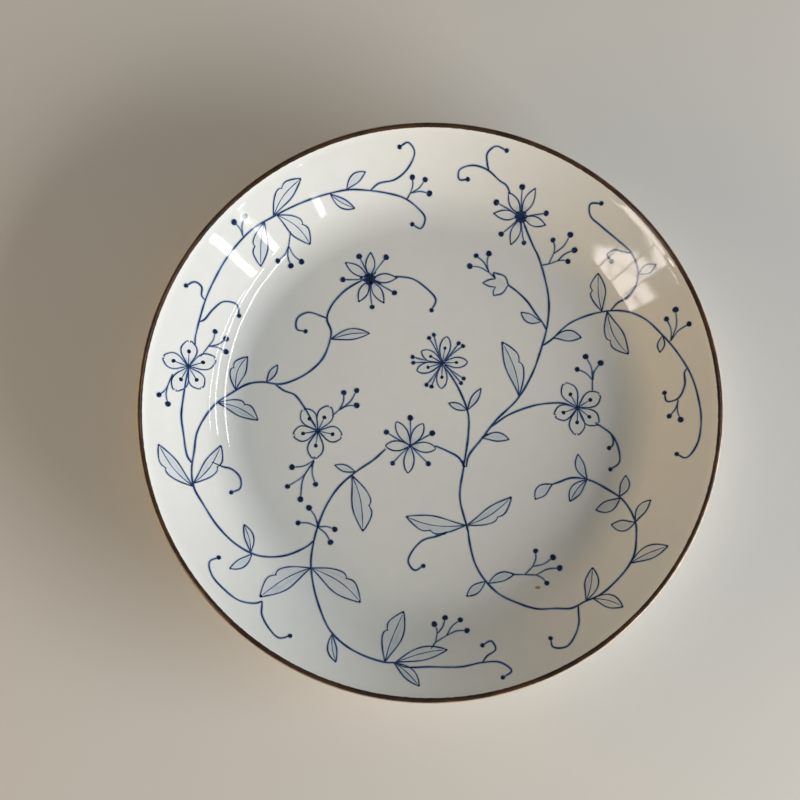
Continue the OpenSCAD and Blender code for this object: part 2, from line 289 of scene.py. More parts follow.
class Wiring:
    """Adds nodes to one tree and joins them."""

    def __init__(self, tree: bpy.types.NodeTree) -> None:
        """Takes the tree to add to."""
        self.tree = tree

    def add(self, kind: str, inputs: dict | None = None, **settings) -> bpy.types.Node:
        """Adds one node.

        Args:
            kind: the node's type, without its "ShaderNode".
            inputs: for an input's name or number, the value it holds or the socket that feeds it.
            settings: the node's own settings.

        Returns:
            The node.
        """
        node = self.tree.nodes.new("ShaderNode" + kind)
        for name, value in settings.items():
            setattr(node, name, value)
        for key, value in (inputs or {}).items():
            if isinstance(value, bpy.types.NodeSocket):
                self.tree.links.new(value, node.inputs[key])
            else:
                node.inputs[key].default_value = value
        return node

    def maths(self, operation: str, *values) -> bpy.types.NodeSocket:
        """Adds a Math node on these numbers or sockets, and returns its result."""
        return self.add("Math", dict(enumerate(values)), operation=operation).outputs[0]

    def mix(self, factor, first, second, blend: str = "MIX") -> bpy.types.NodeSocket:
        """Adds a colour mix of two colours or sockets, and returns its result."""
        node = self.add("Mix", {0: factor, 6: first, 7: second}, data_type="RGBA", blend_type=blend)
        return node.outputs[2]

    def ramp(self, factor: bpy.types.NodeSocket, stops: Sequence[tuple[float, Colour]]) -> bpy.types.NodeSocket:
        """Adds a colour ramp with these places and colours, and returns its colour."""
        node = self.add("ValToRGB", {0: factor})
        elements = node.color_ramp.elements
        elements.remove(elements[1])
        elements[0].position, elements[0].color = stops[0][0], (*stops[0][1], 1.0)
        for place, colour in stops[1:]:
            elements.new(place).color = (*colour, 1.0)
        return node.outputs[0]

    def fade(self, value, start: float, end: float) -> bpy.types.NodeSocket:
        """Adds a smooth step that is 0 at start and 1 at end, and returns its result."""
        node = self.add("MapRange", {0: value, 1: start, 2: end}, interpolation_type="SMOOTHSTEP")
        return node.outputs[0]


def new_group(name: str, inputs: dict[str, float | Colour], outputs: dict[str, str]) -> tuple:
    """Makes a shader node group.

    Args:
        name: the group's name.
        inputs: each input's name and default, a number or a colour.
        outputs: each output's name and socket type.

    Returns:
        The group, its wiring, its input node and its output node.
    """
    group = bpy.data.node_groups.new(name, "ShaderNodeTree")
    for label, default in inputs.items():
        kind = "NodeSocketFloat" if isinstance(default, float) else "NodeSocketColor"
        socket = group.interface.new_socket(name=label, in_out="INPUT", socket_type=kind)
        socket.default_value = default if isinstance(default, float) else (*default, 1.0)
    for label, kind in outputs.items():
        group.interface.new_socket(name=label, in_out="OUTPUT", socket_type=kind)
    wiring = Wiring(group)
    return group, wiring, group.nodes.new("NodeGroupInput"), group.nodes.new("NodeGroupOutput")


class SharedGroups:
    """The effects that several finishes share, each built once as a node group."""

    def __init__(self) -> None:
        """Builds the groups."""
        self.tone = self._fired_tone()
        self.skin = self._glaze_skin()
        self.mottle = self._mottle()

    @staticmethod
    def _fired_tone() -> bpy.types.NodeTree:
        """Returns the group for white china: broad drifts of two whites, faint clouds and tiny dark pits."""
        group, w, inside, outside = new_group(
            "fired_tone",
            {"White": (0.8, 0.8, 0.8), "Shade": (0.7, 0.7, 0.7), "Pits": 1.0},
            {"Color": "NodeSocketColor"},
        )
        place = w.add("TexCoord").outputs["Object"]
        drift = w.add("TexNoise", {"Vector": place, "Scale": 9.0, "Detail": 2.0}).outputs[0]
        cloud = w.add("TexNoise", {"Vector": place, "Scale": 160.0, "Detail": 4.0}).outputs[0]
        mixed = w.mix(w.fade(drift, 0.35, 0.65), inside.outputs["White"], inside.outputs["Shade"])
        clouded = w.mix(w.fade(cloud, 0.3, 0.8), mixed, w.mix(0.04, mixed, (0.3, 0.33, 0.36, 1.0)))
        cells = w.add("TexVoronoi", {"Vector": place, "Scale": 70.0})
        near = w.fade(cells.outputs["Distance"], 0.030, 0.012)
        few = w.maths("GREATER_THAN", w.add("SeparateColor", {0: cells.outputs["Color"]}).outputs[0], 0.90)
        pit = w.maths("MULTIPLY", w.maths("MULTIPLY", near, few), inside.outputs["Pits"])
        spotted = w.mix(w.maths("MULTIPLY", pit, 0.55), clouded, (0.16, 0.14, 0.12, 1.0))
        w.tree.links.new(spotted, outside.inputs["Color"])
        return group

    @staticmethod
    def _glaze_skin() -> bpy.types.NodeTree:
        """Returns the group for a fired glaze's surface: long low waves, fine peel and uneven gloss."""
        group, w, inside, outside = new_group(
            "glaze_skin",
            {"Waves": 1.0, "Peel": 1.0, "Gloss": 0.06},
            {"Normal": "NodeSocketVector", "Roughness": "NodeSocketFloat"},
        )
        place = w.add("TexCoord").outputs["Object"]
        wave = w.add("TexNoise", {"Vector": place, "Scale": 34.0, "Detail": 1.0}).outputs[0]
        peel = w.add("TexNoise", {"Vector": place, "Scale": 520.0, "Detail": 2.0}).outputs[0]
        high = w.maths("MULTIPLY", wave, w.maths("MULTIPLY", inside.outputs["Waves"], 0.00012))
        low = w.maths("MULTIPLY", peel, w.maths("MULTIPLY", inside.outputs["Peel"], 0.0000022))
        height = w.maths("ADD", high, low)
        bump = w.add("Bump", {"Height": height, "Strength": 1.0, "Distance": 1.0})
        patch = w.add("TexNoise", {"Vector": place, "Scale": 60.0, "Detail": 3.0}).outputs[0]
        gloss = w.maths("MULTIPLY_ADD", patch, 0.03, inside.outputs["Gloss"])
        w.tree.links.new(bump.outputs[0], outside.inputs["Normal"])
        w.tree.links.new(gloss, outside.inputs["Roughness"])
        return group

    @staticmethod
    def _mottle() -> bpy.types.NodeTree:
        """Returns the group for colour that lies thick and thin: a mask from low to high, by two sizes of noise."""
        group, w, inside, outside = new_group(
            "mottle",
            {"Scale": 200.0, "Low": 0.0, "High": 1.0},
            {"Mask": "NodeSocketFloat"},
        )
        place = w.add("TexCoord").outputs["Object"]
        broad = w.add("TexNoise", {"Vector": place, "Scale": inside.outputs["Scale"], "Detail": 1.0}).outputs[0]
        fine_scale = w.maths("MULTIPLY", inside.outputs["Scale"], 5.0)
        fine = w.add("TexNoise", {"Vector": place, "Scale": fine_scale, "Detail": 2.0}).outputs[0]
        both = w.fade(w.maths("MULTIPLY_ADD", fine, 0.35, w.maths("MULTIPLY", broad, 0.65)), 0.3, 0.7)
        spread = w.maths("SUBTRACT", inside.outputs["High"], inside.outputs["Low"])
        w.tree.links.new(w.maths("MULTIPLY_ADD", both, spread, inside.outputs["Low"]), outside.inputs["Mask"])
        return group


# ---- Finishes ----


@dataclass(frozen=True)
class Finish:
    """A material under one name: a Principled surface that each kind of finish feeds in its own way."""

    name: str

    def start(self) -> tuple[bpy.types.Material, Wiring, bpy.types.Node]:
        """Returns a new material, its wiring and its Principled node."""
        material = bpy.data.materials.new(self.name)
        material.use_nodes = True
        return material, Wiring(material.node_tree), material.node_tree.nodes["Principled BSDF"]

    def group(self, w: Wiring, tree: bpy.types.NodeTree, **inputs) -> bpy.types.Node:
        """Places a shared group, its inputs given by name."""
        node = w.tree.nodes.new("ShaderNodeGroup")
        node.node_tree = tree
        for name, value in inputs.items():
            node.inputs[name].default_value = value if isinstance(value, float) else (*value, 1.0)
        return node

    def join(self, w: Wiring, shader: bpy.types.Node, **sockets: bpy.types.NodeSocket) -> None:
        """Feeds the Principled node's inputs, an underscore standing for a space."""
        for name, socket in sockets.items():
            w.tree.links.new(socket, shader.inputs[name.replace("_", " ")])


@dataclass(frozen=True)
class WhiteGlaze(Finish):
    """Clear glaze on white china, with a brown that creeps in from the lip and one speck from the kiln."""

    white: Colour = (0.80, 0.815, 0.80)
    shade: Colour = (0.765, 0.785, 0.78)
    gloss: float = 0.02
    waves: float = 0.22
    ior: float = 1.52
    creep_r: float = 0.0          # radius of the band's inner edge; 0 for a coat that doesn't reach it
    creep_w: float = 0.22
    speck: Point | None = None    # the kiln speck's place
    speck_w: float = 1.3         # its width; it is nearly twice as long
    stain: Colour = (0.11, 0.055, 0.025)
    speck_colour: Colour = (0.34, 0.20, 0.075)

    def material(self, groups: SharedGroups) -> bpy.types.Material:
        """Returns the material."""
        material, w, shader = self.start()
        colour = self.group(w, groups.tone, White=self.white, Shade=self.shade, Pits=1.0).outputs["Color"]
        place = w.add("TexCoord").outputs["Object"]
        wander = w.add("TexNoise", {"Vector": place, "Scale": 420.0, "Detail": 2.0}).outputs[0]
        flat = w.add("VectorMath", {0: place, 1: (1.0, 1.0, 0.0)}, operation="MULTIPLY").outputs[0]
        if self.creep_r:
            radius = w.add("VectorMath", {0: flat}, operation="LENGTH").outputs["Value"]
            ragged = w.maths("MULTIPLY_ADD", wander, 2 * self.creep_w * MM, radius)
            edge = w.fade(ragged, self.creep_r * MM, (self.creep_r + self.creep_w) * MM)
            colour = w.mix(edge, colour, (*self.stain, 1.0))
        if self.speck:
            middle = (self.speck[0] * MM, self.speck[1] * MM, 0.0)
            away = w.add("VectorMath", {0: flat, 1: middle}, operation="SUBTRACT").outputs[0]
            long = w.add("VectorMath", {0: away, 1: (0.55, 1.0, 0.0)}, operation="MULTIPLY").outputs[0]
            reach = w.add("VectorMath", {0: long}, operation="LENGTH").outputs["Value"]
            ragged = w.maths("MULTIPLY_ADD", wander, 0.6 * MM, reach)
            spot = w.fade(ragged, (0.55 + self.speck_w / 2) * MM, (0.15 + self.speck_w / 2) * MM)
            colour = w.mix(w.maths("MULTIPLY", spot, 0.85), colour, (*self.speck_colour, 1.0))
        skin = self.group(w, groups.skin, Waves=WhiteGlaze.waves, Peel=1.0, Gloss=self.gloss)
        self.join(w, shader, Base_Color=colour, Roughness=skin.outputs["Roughness"], Normal=skin.outputs["Normal"])
        shader.inputs["IOR"].default_value = self.ior
        return material


@dataclass(frozen=True)
class Cobalt(Finish):
    """Cobalt under clear glaze: the ink attribute sets how deep it is, from bare china to navy."""

    load_low: float = 0.86
    load_high: float = 1.10
    scale: float = 240.0
    white: Colour = WhiteGlaze.white
    shade: Colour = WhiteGlaze.shade
    gloss: float = WhiteGlaze.gloss

    DEPTHS = (
        (0.0, (1.0, 1.0, 1.0)),
        (0.10, (0.73, 0.80, 0.89)),
        (0.28, (0.36, 0.46, 0.66)),
        (0.50, (0.070, 0.140, 0.36)),
        (0.75, (0.018, 0.045, 0.16)),
        (1.0, (0.005, 0.009, 0.038)),
    )

    def material(self, groups: SharedGroups) -> bpy.types.Material:
        """Returns the material."""
        material, w, shader = self.start()
        tone = self.group(w, groups.tone, White=self.white, Shade=self.shade, Pits=0.0).outputs["Color"]
        load = self.group(w, groups.mottle, Scale=self.scale, Low=self.load_low, High=self.load_high)
        ink = w.add("Attribute", attribute_name=INK).outputs["Fac"]
        depth = w.ramp(w.maths("MULTIPLY", ink, load.outputs["Mask"]), self.DEPTHS)
        skin = self.group(w, groups.skin, Waves=WhiteGlaze.waves, Peel=1.0, Gloss=self.gloss)
        colour = w.mix(1.0, tone, depth, "MULTIPLY")
        self.join(w, shader, Base_Color=colour, Roughness=skin.outputs["Roughness"], Normal=skin.outputs["Normal"])
        shader.inputs["IOR"].default_value = WhiteGlaze.ior
        return material


@dataclass(frozen=True)
class IronBrown(Finish):
    """Iron-brown glaze, brushed on: near black where it is thick and chestnut where it runs thin, with a pale ring at
    the very edge that is partly wear and partly a painted highlight.
    """

    thick: Colour = (0.020, 0.011, 0.006)
    thin: Colour = (0.115, 0.055, 0.024)
    # colour of the pale edge ring: partly worn china, partly a painted highlight
    worn_and_highlight: Colour = (0.46, 0.38, 0.29)
    gloss: float = 0.09
    scale: float = 90.0
    outer_r: float = 135.0
    worn_and_highlight_w: float = 0.5          # the very edge, a pale ring: partly the china showing through, partly a painted highlight
    thin_w: float = 0.9          # the outer stretch of the band where the brown runs thinner

    def material(self, groups: SharedGroups) -> bpy.types.Material:
        """Returns the material."""
        material, w, shader = self.start()
        patchy = self.group(w, groups.mottle, Scale=self.scale, Low=0.0, High=0.55).outputs["Mask"]
        place = w.add("TexCoord").outputs["Object"]
        flat = w.add("VectorMath", {0: place, 1: (1.0, 1.0, 0.0)}, operation="MULTIPLY").outputs[0]
        radius = w.add("VectorMath", {0: flat}, operation="LENGTH").outputs["Value"]
        outward = w.fade(radius, (self.outer_r - self.thin_w) * MM, self.outer_r * MM)
        thinness = w.maths("MINIMUM", w.maths("MULTIPLY_ADD", outward, 0.45, patchy), 1.0)
        colour = w.mix(thinness, (*self.thick, 1.0), (*self.thin, 1.0))
        # The pale ring at the very edge is partly wear and partly a painted highlight of the lip's rounded edge, the
        # same all round.
        ragged = w.maths("MULTIPLY_ADD", patchy, 0.35 * MM, radius)
        edge = w.fade(ragged, (self.outer_r - self.worn_and_highlight_w) * MM, (self.outer_r - self.worn_and_highlight_w + 0.35) * MM)
        colour = w.mix(w.maths("MULTIPLY", edge, 0.8), colour, (*self.worn_and_highlight, 1.0))
        skin = self.group(w, groups.skin, Waves=0.5, Peel=2.0, Gloss=self.gloss)
        self.join(w, shader, Base_Color=colour, Roughness=skin.outputs["Roughness"], Normal=skin.outputs["Normal"])
        return material


@dataclass(frozen=True)
class Biscuit(Finish):
    """Bare fired porcelain: matt, slightly warm and gritty, with a little grime from use."""

    clean: Colour = (0.74, 0.70, 0.62)
    grimy: Colour = (0.42, 0.37, 0.30)
    grit: float = 0.00003

    def material(self, groups: SharedGroups) -> bpy.types.Material:
        """Returns the material."""
        material, w, shader = self.start()
        grime = self.group(w, groups.mottle, Scale=130.0, Low=0.0, High=0.7).outputs["Mask"]
        colour = w.mix(grime, (*self.clean, 1.0), (*self.grimy, 1.0))
        place = w.add("TexCoord").outputs["Object"]
        grains = w.add("TexNoise", {"Vector": place, "Scale": 1800.0, "Detail": 3.0}).outputs[0]
        bump = w.add("Bump", {"Height": w.maths("MULTIPLY", grains, self.grit), "Distance": 1.0})
        rough = w.maths("MULTIPLY_ADD", grains, 0.2, 0.62)
        self.join(w, shader, Base_Color=colour, Roughness=rough, Normal=bump.outputs[0])
        return material


@dataclass(frozen=True)
class PaleFloor(Finish):
    """The plain pale floor."""

    colour: Colour = (0.70, 0.69, 0.67)

    def material(self) -> bpy.types.Material:
        """Returns the material."""
        material, w, shader = self.start()
        shader.inputs["Base Color"].default_value = (*self.colour, 1.0)
        shader.inputs["Roughness"].default_value = 0.75
        return material


# ---- Meshes ----


def finish_mesh(bm: bmesh.types.BMesh, name: str, material: bpy.types.Material) -> bpy.types.Object:
    """Turns a finished bmesh into an object at the origin.

    Args:
        bm: the mesh, which is freed.
        name: the piece's name.
        material: its one material.

    Returns:
        The object, smooth but for its sharp edges.
    """
    bmesh.ops.recalc_face_normals(bm, faces=bm.faces)
    for face in bm.faces:
        face.smooth = True
    mesh = bpy.data.meshes.new(name)
    bm.to_mesh(mesh)
    bm.free()
    mesh.set_sharp_from_angle(angle=SHARP)
    mesh.materials.append(material)
    piece = bpy.data.objects.new(name, mesh)
    bpy.context.scene.collection.objects.link(piece)
    return piece


def place_piece(piece: bpy.types.Object, node: str) -> None:
    """Puts a piece in the frame for one CAD node, and reports it."""
    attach(piece, BODY)
    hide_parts(node)
    LOG.info("%s stands for %s: %d faces", piece.name, node, len(piece.data.polygons))


@dataclass(frozen=True)
class China:
    """The fired plate: porcelain body, three coats of clear glaze and the brown lip, each spun from its section."""

    section: Section
    spin_steps: int = 256
    kiln_speck: Point = (50.0, -81.0)

    def spin(self, name: str, outline: Sequence[Point], material: bpy.types.Material) -> bpy.types.Object:
        """Spins a closed outline of the section round the plate's axis.

        Args:
            name: the piece's name.
            outline: radius and height of each point, in millimetres.
            material: the piece's material.

        Returns:
            The closed solid.
        """
        bm = bmesh.new()
        verts = [bm.verts.new((r * MM, 0.0, z * MM)) for r, z in outline]
        edges = [
            bm.edges.new((verts[i - 1], verts[i]))
            for i in range(len(verts))
            if max(outline[i - 1][0], outline[i][0]) > ON_AXIS
        ]
        bmesh.ops.spin(bm, geom=verts + edges, cent=(0, 0, 0), axis=(0, 0, 1), dvec=(0, 0, 0),
                       angle=math.tau, steps=self.spin_steps, use_merge=True, use_duplicate=False)
        bmesh.ops.remove_doubles(bm, verts=bm.verts, dist=ON_AXIS * MM)
        return finish_mesh(bm, name, material)

    def coat(self, poses: Sequence[Pose]) -> list[Point]:
        """Returns the outline of a coat of glaze along a stretch of the section."""
        outer = [pose.inset(0.0) for pose in poses]
        inner = [pose.inset(self.section.glaze_t) for pose in poses]
        return outer + inner[::-1]

    def core(self, walks: dict[str, list[Pose]]) -> list[Point]:
        """Returns the outline of the porcelain: inside every coat, and out to the surface at the bare foot."""
        outline = []
        for stretch, poses in walks.items():
            depth = 0.0 if stretch == "bare" else self.section.glaze_t
            outline += [pose.inset(depth) for pose in poses]
        return [point for i, point in enumerate(outline) if i == 0 or math.dist(point, outline[i - 1]) > ON_AXIS]

    def build(self, groups: SharedGroups) -> None:
        """Builds, dresses and places the five pieces."""
        walks = self.section.walks()
        band_r = walks["band"][0].r
        glaze = WhiteGlaze("back_glaze").material(groups)
        face = WhiteGlaze("painted_face_glaze", creep_r=band_r, speck=self.kiln_speck).material(groups)
        brown = IronBrown("brown_lip_glaze", outer_r=self.section.plate_d / 2).material(groups)
        biscuit = Biscuit("bare_biscuit").material(groups)
        pieces = (
            ("china_body", self.core(walks), biscuit, "porcelain_body", Slot.BISCUIT),
            ("glazed_face", self.coat(walks["face"]), face, "face_glaze", Slot.CLEAR),
            ("glazed_back", self.coat(walks["back"]), glaze, "back_glaze", Slot.CLEAR),
            ("glazed_base", self.coat(walks["base"]), glaze, "base_glaze", Slot.CLEAR),
            ("brown_lip", self.coat(walks["band"]), brown, "lip_band", Slot.BROWN),
        )
        for name, outline, material, node, slot in pieces:
            place_piece(self.spin(name, outline, material), node)


# ---- Painting ----


class Layer(Enum):
    """The painting's layers, by their height over the glaze in millimetres."""

    BLEED = 0.015
    WASH = 0.035
    LINE = 0.060


class Side(Enum):
    """The two sides of a leaf or petal, looking from its foot to its tip."""

    LEFT = 1.0
    RIGHT = -1.0


def left_of(way: Vector) -> Vector:
    """Returns the way turned a quarter to the left."""
    return Vector((-way.y, way.x))


def towards(degrees: float) -> Vector:
    """Returns the unit step in this direction."""
    return Vector((math.cos(math.radians(degrees)), math.sin(math.radians(degrees))))


class Route:
    """A smooth line through chosen points, cut into even steps."""

    def __init__(self, points: Sequence[Sequence[float]], step: float = 0.8) -> None:
        """Cuts the line.

        Args:
            points: the points it goes through.
            step: the longest step.
        """
        fine = self._curve([Vector(p) for p in points])
        lengths = [0.0]
        for a, b in zip(fine, fine[1:]):
            lengths.append(lengths[-1] + (b - a).length)
        self.length = lengths[-1]
        self.count = max(3, math.ceil(self.length / step))
        self.places = []
        for k in range(self.count + 1):
            along = self.length * k / self.count
            i = min(max(bisect_right(lengths, along), 1), len(fine) - 1)
            share = (along - lengths[i - 1]) / max(lengths[i] - lengths[i - 1], ON_AXIS)
            self.places.append(fine[i - 1].lerp(fine[i], min(share, 1.0)))

    @staticmethod
    def _curve(points: list[Vector], cuts: int = 10) -> list[Vector]:
        """Returns many points of the curve: each span follows its four nearest points, the near ones most."""
        points = [2 * points[0] - points[1], *points, 2 * points[-1] - points[-2]]
        curve = [points[1]]
        for a, b, c, d in zip(points, points[1:], points[2:], points[3:]):
            ab, bc, cd = (math.sqrt((q - p).length) for p, q in ((a, b), (b, c), (c, d)))
            leave = (c - b) + bc * ((b - a) / ab - (c - a) / (ab + bc))
            arrive = (c - b) + bc * ((d - c) / cd - (d - b) / (bc + cd))
            for k in range(1, cuts + 1):
                t = k / cuts
                curve.append((2 * t ** 3 - 3 * t ** 2 + 1) * b + (t ** 3 - 2 * t ** 2 + t) * leave
                             + (3 * t ** 2 - 2 * t ** 3) * c + (t ** 3 - t ** 2) * arrive)
        return curve

    def at(self, share: float) -> tuple[Vector, Vector]:
        """Returns the place at this share of the way, and the step to its left."""
        i = round(share * self.count)
        way = self.places[min(i + 1, self.count)] - self.places[max(i - 1, 0)]
        return self.places[i], left_of(way.normalized())


@dataclass(frozen=True)
class Pen:
    """How a painted line is laid: its width, how it starts and ends, and how much colour it carries."""

    width: float = 0.80
    start: float = 0.75      # share of the width at the start
    end: float = 0.45        # share of the width at the end
    taper: float = 2.5       # length over which it comes to its full width
    waver: float = 0.20      # how much the width wanders, as a share of it
    load: float = 0.78       # density in the middle of the line
    pool: float = 0.26       # how much denser its two ends are

    def half_width(self, along: float, length: float, phase: float) -> float:
        """Returns half the line's width at a distance along it."""
        open_start = min(along / self.taper, 1.0)
        open_end = min((length - along) / self.taper, 1.0)
        share = min(self.start + (1 - self.start) * open_start, self.end + (1 - self.end) * open_end)
        wander = self.waver * (math.sin(along / 3.1 + phase) + 0.6 * math.sin(along / 1.3 + 2 * phase)) / 1.6
        return self.width / 2 * share * (1 + wander)

    def density(self, along: float, length: float, phase: float) -> float:
        """Returns the density of colour at a distance along the line."""
        pooled = self.pool * (math.exp(-along / 1.4) + math.exp(-(length - along) / 1.2))
        wander = 0.09 * math.sin(along / 4.7 + 3 * phase) + 0.05 * math.sin(along / 1.9 + phase)
        return min(max(self.load + pooled + wander, 0.0), 1.0)


STEM_PEN = Pen(width=0.80, end=0.7)
TENDRIL_PEN = Pen(width=0.70, end=0.8)
EDGE_PEN = Pen(width=0.60, start=0.75, end=0.7)
RIB_PEN = Pen(width=0.46, start=0.9, end=0.5, load=0.66)
STALK_PEN = Pen(width=0.50, start=0.9, end=0.8, load=0.66)


class Painting:
    """One painted piece: closed sheets of cobalt that lie on the face, with their density at every point."""

    bleed_w = 0.50        # how far the colour bleeds past a line or dot
    bleed_ink = 0.20      # density of the bleed where it leaves the line
    seat = 0.012          # how far a sheet's underside lies below the top of the glaze
    lifts = 8             # sheets of one layer take turns at this many heights, so that crossings stay clean
    lift_step = 0.0018
    across = 4            # cells across a line
    golden = 2.399963     # turns each sheet's wander on from the last

    def __init__(self, face: Face) -> None:
        """Starts the piece on this face."""
        self.face = face
        self.bm = bmesh.new()
        self.ink = self.bm.verts.layers.float.new(INK)
        self.count = 0

    def sheet(self, cells: tuple[int, int], layer: Layer,
              place: Callable[[float, float], tuple[Vector, float]]) -> None:
        """Lays one sheet.

        Args:
            cells: how many cells it has along and across.
            layer: the layer that it lies in.
            place: gives a point and its density, from the share along, 0 to 1, and the place across, -1 to 1.
        """
        self.count += 1
        lift = layer.value + self.count % self.lifts * self.lift_step
        grid = bmesh.ops.create_grid(self.bm, x_segments=cells[0], y_segments=cells[1], size=1.0)
        for vert in grid["verts"]:
            point, ink = place((vert.co.x + 1) / 2, vert.co.y)
            vert.co = (point.x * MM, point.y * MM, (self.face.height(*point) + lift) * MM)
            vert[self.ink] = ink

    def line(self, points: Sequence[Sequence[float]], pen: Pen) -> None:
        """Paints a line with its bleed."""
        route = Route(points)
        phase = self.count * self.golden

        def core(u: float, v: float) -> tuple[Vector, float]:
            """Places a point of the line itself."""
            at, left = route.at(u)
            along = u * route.length
            ink = pen.density(along, route.length, phase) * (1 - 0.35 * v ** 4)
            return at + left * v * pen.half_width(along, route.length, phase), ink

        def bleed(u: float, v: float) -> tuple[Vector, float]:
            """Places a point of the bleed round it."""
            at, left = route.at(u)
            half = pen.half_width(u * route.length, route.length, phase) + self.bleed_w
            return at + left * v * half, 0.0 if abs(v) > 0.99 else self.bleed_ink * pen.load / Pen.load

        self.sheet((route.count, self.across), Layer.BLEED, bleed)
        self.sheet((route.count, self.across), Layer.LINE, core)

    def disc(self, at: Vector, radius: float, layer: Layer, ink: Callable[[float], float],
             waver: float = 0.06) -> None:
        """Lays a round sheet, whose density is given from the share of the way out to its edge."""
        phase = self.count * self.golden

        def place(u: float, v: float) -> tuple[Vector, float]:
            """Rounds a square's point off to the disc."""
            across = 2 * u - 1
            spot = Vector((across * math.sqrt(1 - v * v / 2), v * math.sqrt(1 - across * across / 2)))
            turn = math.atan2(spot.y, spot.x)
            wobble = 1 + waver * (math.sin(2 * turn + phase) + 0.5 * math.sin(3 * turn + 2 * phase))
            return at + spot * radius * wobble, ink(min(spot.length, 1.0))

        self.sheet((6, 6), layer, place)

    def dot(self, at: Sequence[float], diameter: float, load: float = 1.0) -> None:
        """Paints a round dot with its bleed."""
        middle, radius = Vector(at), diameter / 2
        reach = radius + self.bleed_w
        edge = radius / reach
        self.disc(middle, reach, Layer.BLEED,
                  lambda out: self.bleed_ink * min((1 - out) / (1 - edge), 1.0))
        self.disc(middle, radius, Layer.LINE, lambda out: load * (1 - 0.22 * out ** 4))

    def finish(self, name: str, node: str, slot: Slot, material: bpy.types.Material) -> None:
        """Closes every sheet underneath, and places the piece for its CAD node."""
        under = bmesh.ops.extrude_face_region(self.bm, geom=list(self.bm.faces))
        for vert in (v for v in under["geom"] if isinstance(v, bmesh.types.BMVert)):
            vert.co.z = (self.face.height(vert.co.x / MM, vert.co.y / MM) - self.seat) * MM
        place_piece(finish_mesh(self.bm, name, material), node)


@dataclass(frozen=True)
class Blade:
    """A leaf or petal: a bowed middle line, and a width that swells and comes to a point."""

    foot: Point
    tip: Point
    width: float
    bow: float = 0.0
    belly: float = 1.15       # over 1, it is widest nearer its tip
    fullness: float = 1.0     # under 1, its ends are rounder

    def spine(self, t: float) -> Vector:
        """Returns the middle line at this share of the way."""
        foot, tip = Vector(self.foot), Vector(self.tip)
        side = left_of((tip - foot).normalized())
        return foot.lerp(tip, t) + side * self.bow * math.sin(math.pi * min(max(t, 0.0), 1.0))

    def half(self, t: float) -> float:
        """Returns half the width at this share of the way."""
        swell = max(math.sin(math.pi * min(max(t, 0.0), 1.0) ** self.belly), 0.0)
        return self.width / 2 * swell ** self.fullness

    def at(self, t: float, across: float) -> Vector:
        """Returns a point, across being 1 on the left edge and -1 on the right."""
        way = self.spine(min(t + 0.01, 1.0)) - self.spine(max(t - 0.01, 0.0))
        return self.spine(t) + left_of(way.normalized()) * across * self.half(t)

    def edge(self, side: Side, end: float = 1.0) -> list[Vector]:
        """Returns points of one edge, from the foot to this share of the way."""
        return [self.at(end * k / 10, side.value) for k in range(11)]


class Line(Painting):
    """The painting's long lines. Each starts on the line that it grows from."""

    ROUTES: tuple = ()
    pen = STEM_PEN
    reach = 3.0      # how far off a line's start may be from the line that it grows from

    @classmethod
    def nearest(cls, point: Sequence[float], reach: float, but: tuple = ()) -> Vector:
        """Returns the vine's nearest place, or the point itself where the vine is out of reach.

        Args:
            point: the point to join to the vine.
            reach: how far off the vine may be.
            but: the route to leave out.
        """
        spot = Vector(point)
        routes = [points for points in Stems.ROUTES + Tendrils.ROUTES if points is not but]
        places = [place for points in routes for place in VINE[points].places]
        best = min(places, key=lambda place: (place - spot).length)
        return best if (best - spot).length < reach else spot

    def paint(self) -> None:
        """Paints every line."""
        for points in self.ROUTES:
            self.line([self.nearest(points[0], self.reach, but=points), *points[1:]], self.pen)


class Stems(Line):
    """The vine's main stems."""

    ROUTES = (
        ((18, -56), (17, -52), (14, -39), (16, -24), (18, -10), (18, 0), (14, 11), (10, 18), (7, 22)),
        ((16.5, -25), (18, -20), (24, -12), (31, -3), (41, 7), (48, 19), (52, 30), (55, 41), (56, 53),
         (54, 65), (51, 75), (49, 79), (46, 86), (44, 91)),
        ((55.5, 40), (53, 43), (50, 47), (46, 53), (41, 58), (37, 61)),
        ((28.5, -6.5), (31.5, -4), (35, -1.5), (40, 1), (49, 4), (56, 5), (62, 5), (68, 3)),
        ((17, -25), (13.5, -20.5), (9, -17.8), (5, -16), (2.5, -15)),
        ((-20.5, -16.5), (-26, -21.5), (-34, -27), (-42, -34), (-48, -43), (-52, -53), (-54, -61), (-55, -69),
         (-54, -79), (-51, -90), (-46, -101), (-39, -108), (-30, -113), (-20, -116), (-16, -116)),
        ((-54, -59), (-57, -62), (-66, -66), (-74, -67), (-81, -66), (-90, -61), (-98, -53), (-104, -44),
         (-109, -35), (-110, -27), (-109, -18), (-108, -10), (-105, -3), (-100, 4), (-92, 10), (-85, 14),
         (-78, 15), (-70, 14), (-63, 16), (-56, 20), (-50, 26), (-47, 33), (-46, 39), (-48, 45),
         (-46, 51), (-40, 58), (-34, 62), (-30, 64)),
        ((-72, 14), (-68, 11), (-63, 9), (-59, 4), (-56, -1), (-53, -6)),
        ((-110, -24), (-112, -21), (-114, -10), (-115, -2), (-114, 8), (-113, 15), (-112, 20)),
        ((18, -55), (18, -57), (19, -63), (21, -70), (25, -77), (32, -84), (40, -88), (49, -91),
         (58, -91), (65, -91), (71, -88), (78, -85), (85, -79), (91, -72), (94, -66), (95, -59),
         (95, -52), (93, -46), (89, -40), (82, -35), (74, -31), (66, -30), (60, -32), (57, -33)),
    )


